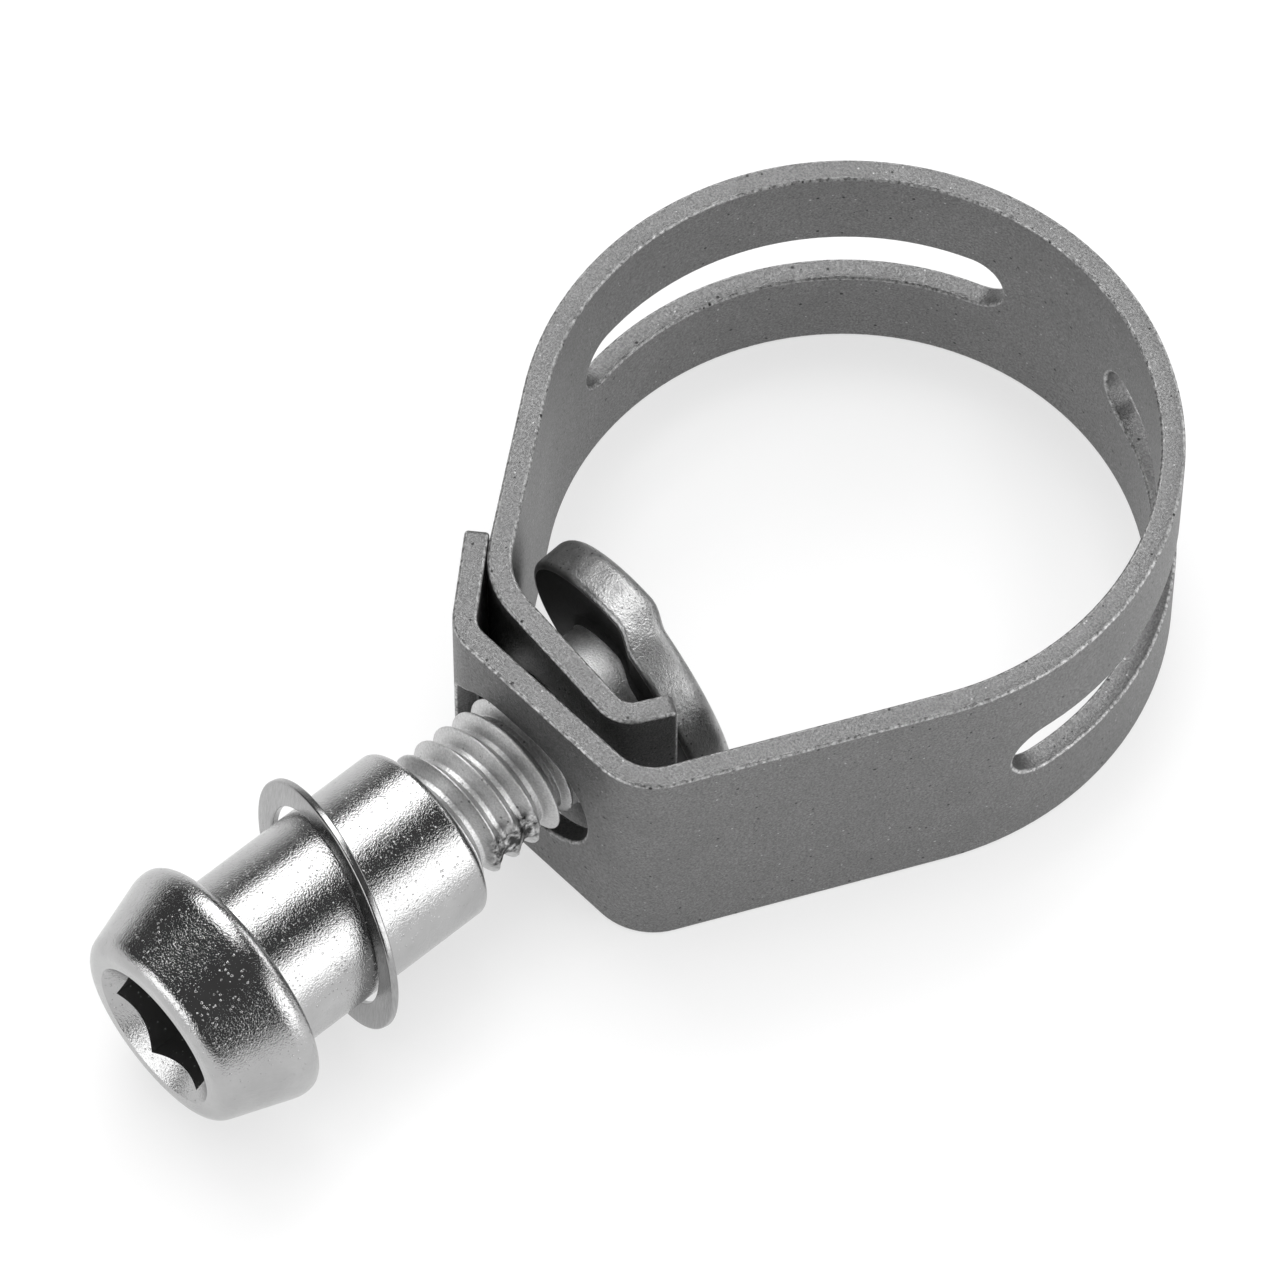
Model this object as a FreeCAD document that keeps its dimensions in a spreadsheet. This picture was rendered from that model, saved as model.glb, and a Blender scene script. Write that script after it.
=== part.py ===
import FreeCAD, Part
import math
import os
import Sketcher

# The bar clamp of a bicycle shift lever, in millimetres.
# The origin is the centre of the handlebar, halfway across the band. Z runs along the bar and
# the clamp bolt points along -Y, a little to the left. The band stands on its lower edge.

doc = FreeCAD.newDocument("shifter_clamp")
sizes = doc.addObject("Spreadsheet::Sheet", "Sizes")
size_list = [
    ("bore_radius", 12.38, "inside radius of the open band, for a 24 mm handlebar"),
    ("sheet_thickness", 1.0, "thickness of the steel strip"),
    ("band_width", 11.7, "width of the strip"),
    ("edge_chamfer", 0.15, "break that tumbling leaves along the strip's edges"),
    ("right_leg_angle", 63.0, "slope of the right leg above the outer flat, degrees"),
    ("left_leg_angle", 54.2, "slope of the left leg above the outer flat, degrees"),
    ("outer_flat_depth", 16.875, "bar centre to the outer flat's inner face"),
    ("right_bend_radius", 1.9, "inside radius between outer flat and right leg"),
    ("outer_lip_bend_radius", 1.0, "inside radius between outer flat and outer lip"),
    ("outer_lip_angle", 50.5, "slope of the outer lip above the outer flat, degrees"),
    ("outer_lip_length", 3.95, "straight length of the outer lip"),
    ("lip_leg_gap", 0.06, "end of the outer lip to the left leg's outer face"),
    ("flats_gap", 1.065, "inner flat to outer flat"),
    ("inner_flat_angle", 5.5, "fall of the inner flat to the right, degrees"),
    ("inner_flat_length", 2.15, "bar centre to where the inner lip starts to bend"),
    ("left_bend_radius", 3.0, "inside radius between left leg and inner flat"),
    ("inner_lip_bend_radius", 0.7, "inside radius between inner flat and inner lip"),
    ("inner_lip_angle", 61.0, "slope of the inner lip above the outer flat, degrees"),
    ("inner_lip_length", 1.45, "straight length of the inner lip"),
    ("lip_end_radius", 0.25, "rounding of the upright edges at the ends of the two lips"),
    ("slot_width", 3.0, "width of the two slots along the round wall"),
    ("right_slot_low_angle", -15.1, "lower tip of the right slot, degrees from +X"),
    ("right_slot_high_angle", 77.6, "upper tip of the right slot"),
    ("left_slot_high_angle", 104.9, "upper tip of the left slot"),
    ("left_slot_low_angle", 195.1, "lower tip of the left slot"),
    ("bolt_diameter", 5.95, "shank of the clamp bolt over its M6 thread"),
    ("bolt_hole_gap", 0.12, "radial clearance of the shank in the band"),
    ("bolt_slot_extra_length", 1.74, "how much longer than wide the outer flat's slot is"),
    ("bolt_slot_offset", 0.11, "centre of that slot, right of the bolt's axis"),
    ("bolt_offset", -0.683, "bolt axis at the inner flat, right of the bar centre"),
    ("bolt_yaw_angle", 2.67, "turn of the bolt to the left of -Y, degrees"),
    ("bolt_length", 14.4, "inner flat's inner face to the end of the shank"),
    ("bolt_end_chamfer", 0.6, "chamfer on the end of the shank"),
    ("head_radius", 5.86, "radius of the bolt's plate head"),
    ("head_offset", -0.15, "centre of the head, right of the bolt's axis"),
    ("head_thickness", 1.9, "thickness of both lobes of the head"),
    ("head_lip_gap", 0.05, "head's bent lobe to the end of the inner lip"),
    ("head_nod_angle", 8.1, "lean of the head's top towards the flats, degrees"),
    ("head_fold_offset", 0.73, "fold of the head, right of the bolt's axis"),
    ("head_left_angle", 1.9, "fall of the straight lobe to the right, degrees"),
    ("head_right_angle", 7.6, "fall of the bent lobe to the right, degrees"),
    ("head_step_height", 0.45, "how far the bent lobe lies below the other at the fold"),
    ("head_step_length", 0.5, "length of the slope of that step"),
    ("head_under_chamfer", 0.25, "break of the head's rim towards the flats"),
    ("head_top_chamfer", 0.5, "break of the head's rim towards the bar"),
    ("nut_open_gap", 4.63, "outer flat to the nut's mouth, as it hangs open"),
    ("nut_wall_thickness", 0.845, "wall of the nut's barrel round its thread"),
    ("nut_barrel_length", 9.85, "mouth to the back of the nut's head"),
    ("nut_mouth_chamfer", 0.35, "break of the barrel's outer edge at the mouth"),
    ("nut_thread_chamfer", 0.25, "countersink of the thread at the mouth"),
    ("nut_thread_gap", 0.05, "radial clearance of the bolt in the nut"),
    ("nut_shoulder_width", 1.505, "rim of the nut's head, out from the barrel"),
    ("nut_head_length", 4.27, "back of the head to its front face"),
    ("nut_rim_width", 0.9, "back of the head to where its taper starts"),
    ("nut_rim_radius", 0.6, "rounding of the rim"),
    ("nut_front_width", 0.43, "end of the head's taper, out from the barrel"),
    ("nut_front_chamfer", 0.4, "break of the front edge"),
    ("hex_width", 5.0, "hexagon socket across its flats"),
    ("hex_depth", 3.6, "depth of the hexagon socket"),
    ("hex_chamfer", 0.35, "countersink round the hexagon's corners"),
    ("hex_turn_angle", 15.0, "turn of the hexagon about the bolt's axis, degrees"),
    ("hex_floor_thickness", 1.2, "wall left between the thread and the hexagon"),
    ("hex_floor_radius", 2.0, "radius of the hole through that wall"),
    ("washer_gap", 0.38, "radial clearance of the washer on the nut's barrel"),
    ("washer_width", 1.12, "washer's hole to its rim"),
    ("washer_thickness", 0.33, "washer's thickness"),
    ("washer_distance", 9.67, "outer flat to the washer, along the bolt"),
    ("washer_offset", -0.17, "centre of the washer, right of the bolt's axis"),
    ("washer_swing_angle", 10.7, "turn of the washer about the upright, degrees"),
    ("washer_nod_angle", 5.2, "lean of the washer's top towards the band, degrees"),
    ("washer_hang_gap", 0.09, "top of the barrel to the washer hanging on it"),
]
for row, (alias, value, note) in enumerate(size_list, start=1):
    sizes.set("A%d" % row, note)
    sizes.set("B%d" % row, str(value))
    sizes.setAlias("B%d" % row, alias)
doc.recompute()


def size(alias):
    return float(sizes.get(alias))


def value(expression):
    # What an expression of the sheet comes to.
    return float(sizes.evalExpression(expression))


# How a sketch names its own origin, and the start, end and centre of a curve.
origin, start_of, end_of, centre_of = -1, 1, 2, 3


def heading(degrees, length=1.0):
    angle = math.radians(degrees)
    return FreeCAD.Vector(length * math.cos(angle), length * math.sin(angle), 0)


def new_body(label):
    body = doc.addObject("PartDesign::Body", label)
    body.Label = label
    return body


def new_sketch(body, name, role, rotation_axis=None, turn="0", lift="0"):
    # A sketch on one of the body's own planes, turned about an axis of that plane and lifted off it.
    sketch = body.newObject("Sketcher::SketchObject", name)
    plane = next(item for item in body.Origin.OriginFeatures if item.Role == role)
    sketch.AttachmentSupport = [(plane, "")]
    sketch.MapMode = "FlatFace"
    if rotation_axis:
        sketch.AttachmentOffset = FreeCAD.Placement(FreeCAD.Vector(), FreeCAD.Rotation(rotation_axis, 1))
        sketch.setExpression("AttachmentOffset.Rotation.Angle", turn)
    if lift != "0":
        sketch.setExpression("AttachmentOffset.Base.z", lift)
    return sketch


def rule(sketch, expression, *constraint):
    # A dimension of the sketch that follows the sheet.
    index = sketch.addConstraint(Sketcher.Constraint(*constraint))
    name = "d%d" % index
    sketch.renameConstraint(index, name)
    sketch.setExpression("Constraints." + name, expression)


def join(sketch, kind, first, second):
    # The end of one curve meets the start of the next.
    sketch.addConstraint(Sketcher.Constraint(kind, first, end_of, second, start_of))


def outline(sketch, points):
    # A closed outline of straight lines through the points.
    corners = [FreeCAD.Vector(x, y, 0) for x, y in points]
    lines = []
    for start, end in zip(corners, corners[1:] + corners[:1]):
        lines.append(sketch.addGeometry(Part.LineSegment(start, end), False))
    for first, second in zip(lines, lines[1:] + lines[:1]):
        join(sketch, "Coincident", first, second)
    return lines


def place(sketch, curve, x_expression, y_expression, x_now, y_now, point=start_of):
    # The coordinates of one point of a curve.
    rule(sketch, x_expression, "DistanceX", origin, start_of, curve, point, x_now)
    rule(sketch, y_expression, "DistanceY", origin, start_of, curve, point, y_now)


def centred_circle(sketch, expression, radius_now):
    circle = sketch.addGeometry(
        Part.Circle(FreeCAD.Vector(), FreeCAD.Vector(0, 0, 1), radius_now), False)
    sketch.addConstraint(Sketcher.Constraint("Coincident", circle, centre_of, origin, start_of))
    rule(sketch, expression, "Radius", circle, radius_now)


def straighten(sketch, lines):
    # A rectangle's lines lie along the sketch's axes.
    for line, kind in zip(lines, ["Horizontal", "Vertical", "Horizontal", "Vertical"]):
        sketch.addConstraint(Sketcher.Constraint(kind, line))


def centred_rectangle(sketch, wide_expression, high_expression):
    wide, high = value(wide_expression), value(high_expression)
    x, y = wide / 2, high / 2
    lines = outline(sketch, [(-x, -y), (x, -y), (x, y), (-x, y)])
    straighten(sketch, lines)
    sketch.addConstraint(Sketcher.Constraint("Symmetric", lines[0], start_of, lines[2], start_of,
                                             origin, start_of))
    rule(sketch, wide_expression, "Distance", lines[0], wide)
    rule(sketch, high_expression, "Distance", lines[1], high)


# The band is one strip of steel. Its middle line runs from the outer lip along the outer flat,
# up the right leg, round the bar, down the left leg and along the inner flat to the inner lip,
# and every bend turns the same way.
band = new_body("band")
half_sheet = size("sheet_thickness") / 2
ring_radius = size("bore_radius") + half_sheet
right_lean = size("right_leg_angle")
left_lean = size("left_leg_angle")
lip_lean = size("outer_lip_angle")
tilt = size("inner_flat_angle")
end_lean = size("inner_lip_angle")

right_tangent = heading(right_lean - 90, ring_radius)
left_tangent = heading(270 - left_lean, ring_radius)
outer_level = -(size("outer_flat_depth") + half_sheet)
inner_normal = heading(90 - tilt)
inner_flat_depth = "(Sizes.outer_flat_depth - Sizes.sheet_thickness - Sizes.flats_gap)"
inner_level = -(value(inner_flat_depth) + half_sheet)

climb = (outer_level - right_tangent.y) / math.sin(math.radians(right_lean))
right_corner = right_tangent + heading(right_lean, climb)
drop = (inner_level - inner_normal.dot(left_tangent)) / inner_normal.dot(heading(-left_lean))
left_corner = left_tangent + heading(-left_lean, drop)


def bend(start, direction, turn, inside_radius):
    # An arc of the middle line to the left of its direction of travel, and where it ends.
    radius = inside_radius + half_sheet
    centre = start + heading(direction + 90, radius)
    first = math.radians(direction - 90)
    last = math.radians(direction + turn - 90)
    circle = Part.Circle(centre, FreeCAD.Vector(0, 0, 1), radius)
    return Part.ArcOfCircle(circle, first, last), centre + heading(direction + turn - 90, radius)


right_run = (size("right_bend_radius") + half_sheet) * math.tan(math.radians(right_lean / 2))
left_turn = left_lean - tilt
left_run = (size("left_bend_radius") + half_sheet) * math.tan(math.radians(left_turn / 2))
flat_end = right_corner - heading(0, right_run)
lip_radius = size("outer_lip_bend_radius") + half_sheet
lip_rise = heading(90, lip_radius) + heading(-lip_lean - 90, lip_radius)
lip_reach = lip_rise - heading(-lip_lean, size("outer_lip_length"))
leg_normal = heading(270 - left_lean)
lip_clear = ring_radius + size("sheet_thickness") + size("lip_leg_gap")
flat_left = (lip_clear - leg_normal.dot(lip_reach) - leg_normal.y * outer_level) / leg_normal.x
flat_start = FreeCAD.Vector(flat_left, outer_level, 0)
lip_end = flat_start + lip_rise
lip_start = lip_end - heading(-lip_lean, size("outer_lip_length"))
lip_arc = bend(lip_end, -lip_lean, lip_lean, size("outer_lip_bend_radius"))[0]
right_arc, leg_start = bend(flat_end, 0, right_lean, size("right_bend_radius"))
leg_end = left_corner - heading(-left_lean, left_run)
left_arc, inner_start = bend(leg_end, -left_lean, left_turn, size("left_bend_radius"))
inner_run = (size("inner_flat_length") - inner_start.x) / math.cos(math.radians(tilt))
inner_end = inner_start + heading(-tilt, inner_run)
end_arc, end_start = bend(inner_end, -tilt, tilt + end_lean, size("inner_lip_bend_radius"))
end_tip = end_start + heading(end_lean, size("inner_lip_length"))
ring_circle = Part.Circle(FreeCAD.Vector(), FreeCAD.Vector(0, 0, 1), ring_radius)
ring_arc = Part.ArcOfCircle(ring_circle, math.radians(right_lean - 90), math.radians(270 - left_lean))

path = new_sketch(band, "MiddleLine", "XY_Plane")
curves = path.addGeometry(
    [
        Part.LineSegment(lip_start, lip_end),
        lip_arc,
        Part.LineSegment(flat_start, flat_end),
        right_arc,
        Part.LineSegment(leg_start, right_tangent),
        ring_arc,
        Part.LineSegment(left_tangent, leg_end),
        left_arc,
        Part.LineSegment(inner_start, inner_end),
        end_arc,
        Part.LineSegment(end_start, end_tip),
    ],
    False,
)
outer_lip, lip_bend, outer_flat, right_bend, right_leg = curves[:5]
ring, left_leg, left_bend, inner_flat, end_bend, inner_lip = curves[5:]
for first, second in zip(curves, curves[1:]):
    join(path, "Tangent", first, second)
path.addConstraint(Sketcher.Constraint("Coincident", ring, centre_of, origin, start_of))
path.addConstraint(Sketcher.Constraint("Horizontal", outer_flat))
rule(path, "Sizes.bore_radius + Sizes.sheet_thickness / 2", "Radius", ring, ring_radius)
rule(path, "Sizes.right_leg_angle", "Angle", right_leg, math.radians(right_lean))
rule(path, "-Sizes.left_leg_angle", "Angle", left_leg, math.radians(-left_lean))
rule(path, "-Sizes.outer_lip_angle", "Angle", outer_lip, math.radians(-lip_lean))
rule(path, "-Sizes.inner_flat_angle", "Angle", inner_flat, math.radians(-tilt))
rule(path, "Sizes.inner_lip_angle", "Angle", inner_lip, math.radians(end_lean))
rule(path, "Sizes.right_bend_radius + Sizes.sheet_thickness / 2", "Radius", right_bend,
     size("right_bend_radius") + half_sheet)
rule(path, "Sizes.outer_lip_bend_radius + Sizes.sheet_thickness / 2", "Radius", lip_bend, lip_radius)
rule(path, "Sizes.left_bend_radius + Sizes.sheet_thickness / 2", "Radius", left_bend,
     size("left_bend_radius") + half_sheet)
rule(path, "Sizes.inner_lip_bend_radius + Sizes.sheet_thickness / 2", "Radius", end_bend,
     size("inner_lip_bend_radius") + half_sheet)
rule(path, "Sizes.outer_lip_length", "Distance", outer_lip, size("outer_lip_length"))
rule(path, "Sizes.inner_lip_length", "Distance", inner_lip, size("inner_lip_length"))
rule(path, "-(Sizes.outer_flat_depth + Sizes.sheet_thickness / 2)", "DistanceY", origin, start_of,
     outer_flat, start_of, flat_start.y)
rule(path, "Sizes.sheet_thickness + Sizes.lip_leg_gap", "Distance", outer_lip, start_of, left_leg,
     lip_clear - ring_radius)
rule(path, inner_flat_depth + " + Sizes.sheet_thickness / 2", "Distance", origin, start_of, inner_flat,
     -inner_level)
rule(path, "Sizes.inner_flat_length", "DistanceX", origin, start_of, inner_flat, end_of, inner_end.x)
doc.recompute()


def edge_name(sketch, curve):
    # The name of the sketch's edge that one of its curves makes.
    geometry = sketch.Geometry[curve]
    middle = Part.Vertex(geometry.value((geometry.FirstParameter + geometry.LastParameter) / 2))
    for number, edge in enumerate(sketch.Shape.Edges, start=1):
        if edge.distToShape(middle)[0] < 1e-6:
            return "Edge%d" % number


def sweep_strip(name, run):
    # The strip's rectangular section, carried along part of the middle line.
    section = band.newObject("Sketcher::SketchObject", name + "Section")
    section.AttachmentSupport = [(path, edge_name(path, run[0]))]
    section.MapMode = "NormalToEdge"
    section.MapPathParameter = 0
    centred_rectangle(section, "Sizes.sheet_thickness", "Sizes.band_width")
    doc.recompute()
    strip = band.newObject("PartDesign::AdditivePipe", name)
    strip.Profile = section
    strip.Spine = (path, [edge_name(path, curve) for curve in run])
    doc.recompute()
    return strip


def cut(body, sketch, name, length, reverse):
    # A pocket that goes one way from its sketch, and that has to take metal away.
    before = body.Shape.Volume
    pocket = body.newObject("PartDesign::Pocket", name)
    pocket.Profile = sketch
    pocket.Type = "Length"
    pocket.setExpression("Length", length)
    pocket.Reversed = reverse
    doc.recompute()
    if body.Shape.Volume > before - 1e-6:
        raise ValueError(name + " cuts nothing")
    return pocket


sweep_strip("OuterLeaf", curves[:5])

# The outer flat's slot lets the leaf slide along the bolt as the band closes.
bolt_at_flat = "(Sizes.bolt_offset - tan(Sizes.bolt_yaw_angle) * (Sizes.outer_flat_depth"
bolt_at_flat += " + Sizes.sheet_thickness / 2 - (" + inner_flat_depth
bolt_at_flat += " + Sizes.bolt_offset * sin(Sizes.inner_flat_angle))"
bolt_at_flat += " / cos(Sizes.inner_flat_angle)))"
hole_radius = "(Sizes.bolt_diameter / 2 + Sizes.bolt_hole_gap)"
slot_now = size("bolt_diameter") / 2 + size("bolt_hole_gap")
reach_now = size("bolt_slot_extra_length") / 2
slot_sketch = new_sketch(band, "BoltSlotOutline", "XZ_Plane")
side_now = size("bolt_offset")
top_line = Part.LineSegment(
    FreeCAD.Vector(side_now + reach_now, slot_now, 0), FreeCAD.Vector(side_now - reach_now, slot_now, 0)
)
low_line = Part.LineSegment(
    FreeCAD.Vector(side_now - reach_now, -slot_now, 0), FreeCAD.Vector(side_now + reach_now, -slot_now, 0)
)
left_end = Part.ArcOfCircle(
    Part.Circle(FreeCAD.Vector(side_now - reach_now, 0, 0), FreeCAD.Vector(0, 0, 1), slot_now),
    math.pi / 2, 3 * math.pi / 2,
)
right_end = Part.ArcOfCircle(
    Part.Circle(FreeCAD.Vector(side_now + reach_now, 0, 0), FreeCAD.Vector(0, 0, 1), slot_now),
    -math.pi / 2, math.pi / 2,
)
slot_curves = slot_sketch.addGeometry([top_line, left_end, low_line, right_end], False)
for first, second in zip(slot_curves, slot_curves[1:] + slot_curves[:1]):
    join(slot_sketch, "Tangent", first, second)
slot_sketch.addConstraint(Sketcher.Constraint("Horizontal", slot_curves[0]))
rule(slot_sketch, hole_radius, "Radius", slot_curves[1], slot_now)
place(slot_sketch, slot_curves[1],
      bolt_at_flat + " + Sizes.bolt_slot_offset - Sizes.bolt_slot_extra_length / 2", "0",
      side_now - reach_now, 0, centre_of)
rule(slot_sketch, "Sizes.bolt_slot_extra_length", "Distance", slot_curves[0], 2 * reach_now)
cut(band, slot_sketch, "BoltSlot", "2 * Sizes.outer_flat_depth", True)

sweep_strip("RingAndInnerLeaf", curves[5:])

# The inner flat has a round hole for the bolt, square to the flat.
hole_sketch = new_sketch(band, "BoltHoleOutline", "XZ_Plane", FreeCAD.Vector(0, 1, 0),
                         "360 - Sizes.inner_flat_angle")
hole_circle = hole_sketch.addGeometry(
    Part.Circle(FreeCAD.Vector(side_now, 0, 0), FreeCAD.Vector(0, 0, 1), slot_now), False)
rule(hole_sketch, hole_radius, "Radius", hole_circle, slot_now)
place(hole_sketch, hole_circle,
      "(Sizes.bolt_offset + " + inner_flat_depth + " * sin(Sizes.inner_flat_angle))"
      + " / cos(Sizes.inner_flat_angle)",
      "0", side_now, 0, centre_of)

between_flats = "(Sizes.outer_flat_depth - Sizes.flats_gap / 2)"
cut(band, hole_sketch, "BoltHole", between_flats, True)


def cut_slot(name, low, high):
    # A slot along the round wall: a groove between the centres of its two round ends.
    back = "Sizes.slot_width / 2 / (Sizes.bore_radius + Sizes.sheet_thickness / 2) * 180 / pi"
    low_centre = "(%s + %s)" % (low, back)
    high_centre = "(%s - %s)" % (high, back)
    upright = FreeCAD.Vector(0, 1, 0)
    profile = new_sketch(band, name + "Section", "XZ_Plane", upright, low_centre)
    near = size("bore_radius") - size("sheet_thickness")
    far = size("bore_radius") + 2 * size("sheet_thickness")
    half = size("slot_width") / 2
    lines = outline(profile, [(near, -half), (far, -half), (far, half), (near, half)])
    straighten(profile, lines)
    rule(profile, "Sizes.slot_width", "Distance", lines[1], 2 * half)
    place(profile, lines[0], "Sizes.bore_radius - Sizes.sheet_thickness", "-Sizes.slot_width / 2",
          near, -half)
    rule(profile, "3 * Sizes.sheet_thickness", "Distance", lines[0], far - near)
    doc.recompute()
    before = band.Shape.Volume
    groove = band.newObject("PartDesign::Groove", name)
    groove.Profile = profile
    groove.ReferenceAxis = (profile, ["V_Axis"])
    groove.setExpression("Angle", high_centre + " - " + low_centre)
    doc.recompute()
    if band.Shape.Volume > before - 1e-6:
        raise ValueError(name + " cuts nothing")
    for end, centre in (("Low", low_centre), ("High", high_centre)):
        round_end = new_sketch(band, name + end + "End", "XZ_Plane", upright, centre + " + 90")
        centred_circle(round_end, "Sizes.slot_width / 2", half)
        cut(band, round_end, name + end, "Sizes.bore_radius + 2 * Sizes.sheet_thickness", True)


cut_slot("RightSlot", "Sizes.right_slot_low_angle", "Sizes.right_slot_high_angle")
cut_slot("LeftSlot", "Sizes.left_slot_high_angle", "Sizes.left_slot_low_angle")


def dress(body, name, kind, dimension, expression, chosen):
    names = ["Edge%d" % (number + 1) for number, edge in enumerate(body.Shape.Edges) if chosen(edge)]
    sharp = body.Tip
    dressed = body.newObject(kind, name)
    dressed.Base = (sharp, names)
    dressed.setExpression(dimension, expression)
    doc.recompute()


def soften(body, name, radius, chosen):
    # A rounding on every edge of the body that the test picks.
    dress(body, name, "PartDesign::Fillet", "Radius", radius, chosen)


def bevel(body, name, width, chosen):
    # A small flat break on every edge of the body that the test picks.
    dress(body, name, "PartDesign::Chamfer", "Size", width, chosen)


half_width = size("band_width") / 2


def at_lip_end(edge):
    # An upright edge of the strip at the end of a lip.
    near = min(edge.BoundBox.Center.distanceToPoint(tip) for tip in (lip_start, end_tip))
    return near < 1.01 * half_sheet and edge.BoundBox.ZLength > half_width


def along_rim(edge):
    box = edge.BoundBox
    return box.ZLength < 1e-6 and abs(abs(box.Center.z) - half_width) < 1e-6


soften(band, "LipEnds", "Sizes.lip_end_radius", at_lip_end)
bevel(band, "StripEdges", "Sizes.edge_chamfer", along_rim)

# The bolt group shares one axis. It leaves the inner flat's inner face at the round hole, and
# each of its pieces is placed by its distance from there.
hole_depth = "((" + inner_flat_depth + " + Sizes.bolt_offset * sin(Sizes.inner_flat_angle))"
hole_depth += " / cos(Sizes.inner_flat_angle))"
flat_distance = "((Sizes.outer_flat_depth + Sizes.sheet_thickness - " + hole_depth
flat_distance += ") / cos(Sizes.bolt_yaw_angle))"


def put_on_axis(body, distance, swing="0", drop="0", aside="0"):
    body.Placement = FreeCAD.Placement(FreeCAD.Vector(), FreeCAD.Rotation(FreeCAD.Vector(0, 0, -1), 1))
    body.setExpression("Placement.Rotation.Angle", "Sizes.bolt_yaw_angle + " + swing)
    body.setExpression("Placement.Base.x",
                       "Sizes.bolt_offset - sin(Sizes.bolt_yaw_angle) * (" + distance + ") + " + aside)
    body.setExpression("Placement.Base.y",
                       "-" + hole_depth + " - cos(Sizes.bolt_yaw_angle) * (" + distance + ")")
    body.setExpression("Placement.Base.z", drop)
    doc.recompute()


# The clamp bolt is forged in one piece with a plate for a head. The right lobe of the plate is
# bent down until it all but touches the upturned lip of the inner flat.
clamp_bolt = new_body("clamp_bolt")
lip_turn = "(Sizes.inner_lip_angle + Sizes.inner_flat_angle)"
lip_along = "((Sizes.inner_flat_length + Sizes.sheet_thickness / 2 * sin(Sizes.inner_flat_angle)"
lip_along += " - Sizes.bolt_offset) / cos(Sizes.inner_flat_angle)"
lip_along += " + Sizes.inner_lip_bend_radius * sin(" + lip_turn + ")"
lip_along += " + Sizes.inner_lip_length * cos(" + lip_turn + "))"
lip_above = "(Sizes.inner_lip_bend_radius * (1 - cos(" + lip_turn + "))"
lip_above += " + Sizes.inner_lip_length * sin(" + lip_turn + "))"
off_square = "(Sizes.inner_flat_angle - Sizes.bolt_yaw_angle)"
lip_x = "(" + lip_along + " * cos(" + off_square + ") + " + lip_above + " * sin(" + off_square + "))"
lip_y = "(" + lip_above + " * cos(" + off_square + ") - " + lip_along + " * sin(" + off_square + "))"
# The lip's rounded end reaches less far along the bolt than its corner would.
lip_lean = "(90 - Sizes.inner_lip_angle - Sizes.bolt_yaw_angle)"
lip_crown = "(" + lip_y + " - Sizes.lip_end_radius * (cos(" + lip_lean + ") + sin(" + lip_lean + ") - 1))"
# The bent lobe's nearest point stands over the top of that lip, where the break of its rim
# begins. It is counted from the centre of the round rim, which leans with the plate.
near_radius = "(Sizes.head_radius - Sizes.head_under_chamfer)"
lip_side = "(" + lip_x + " - Sizes.head_offset)"
lobe_top = "sqrt(" + near_radius + " * " + near_radius + " - " + lip_side + " * " + lip_side + ")"
bend_start = "(Sizes.head_fold_offset + Sizes.head_step_length)"
seat = "(((" + lip_crown + " + Sizes.head_lip_gap) / cos(Sizes.head_nod_angle)"
seat += " + Sizes.head_step_height"
seat += " + (" + lip_x + " - " + bend_start + ") * tan(Sizes.head_right_angle)"
seat += " + (" + lobe_top + " - Sizes.head_thickness / 2 * tan(Sizes.head_nod_angle))"
seat += " * tan(Sizes.head_nod_angle)) * cos(Sizes.head_nod_angle) * cos(Sizes.head_nod_angle))"

# The side view of the plate runs past its rim, which the round trim then cuts.
past_rim = "(Sizes.head_radius * 1.2)"
left_rise = "(" + past_rim + " + Sizes.head_fold_offset) * tan(Sizes.head_left_angle)"
right_fall = "(" + past_rim + " - " + bend_start + ") * tan(Sizes.head_right_angle)"
bent = seat + " - Sizes.head_step_height"
plate_corners = [
    ("-" + past_rim, seat + " + " + left_rise),
    ("Sizes.head_fold_offset", seat),
    (bend_start, bent),
    (past_rim, bent + " - " + right_fall),
    (past_rim, bent + " - " + right_fall + " + Sizes.head_thickness"),
    (bend_start, bent + " + Sizes.head_thickness"),
    ("Sizes.head_fold_offset", seat + " + Sizes.head_thickness"),
    ("-" + past_rim, seat + " + " + left_rise + " + Sizes.head_thickness"),
]


def dimensioned_outline(body, name, role, corners, rotation_axis=None, turn="0"):
    # A closed outline whose every corner is dimensioned from the body's origin.
    sketch = new_sketch(body, name, role, rotation_axis, turn)
    now = [(value(x), value(y)) for x, y in corners]
    for line, (x, y), (x_now, y_now) in zip(outline(sketch, now), corners, now):
        place(sketch, line, x, y, x_now, y_now)
    doc.recompute()
    return sketch


crosswise = FreeCAD.Vector(1, 0, 0)
nod = "Sizes.head_nod_angle"
plate_side = dimensioned_outline(clamp_bolt, "PlateSide", "XY_Plane", plate_corners, crosswise, nod)
plate = clamp_bolt.newObject("PartDesign::Pad", "Plate")
plate.Profile = plate_side
plate.Midplane = True
plate.setExpression("Length", "2 * " + past_rim)

# The trim is centred where the plate's middle crosses the bolt's axis.
trim_sketch = new_sketch(clamp_bolt, "RimOutline", "XZ_Plane", crosswise, nod)
rim_circle = trim_sketch.addGeometry(
    Part.Circle(FreeCAD.Vector(), FreeCAD.Vector(0, 0, 1), size("head_radius")), False)
rule(trim_sketch, "Sizes.head_radius", "Radius", rim_circle, size("head_radius"))
rim_rise = "-(" + seat + " + Sizes.head_thickness / 2) * tan(Sizes.head_nod_angle)"
place(trim_sketch, rim_circle, "Sizes.head_offset", rim_rise,
      size("head_offset"), value(rim_rise), centre_of)
centred_rectangle(trim_sketch, "4 * " + past_rim, "4 * " + past_rim)
doc.recompute()
rim_trim = clamp_bolt.newObject("PartDesign::Pocket", "RoundRim")
rim_trim.Profile = trim_sketch
rim_trim.Type = "ThroughAll"
rim_trim.Midplane = True
doc.recompute()


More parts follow.
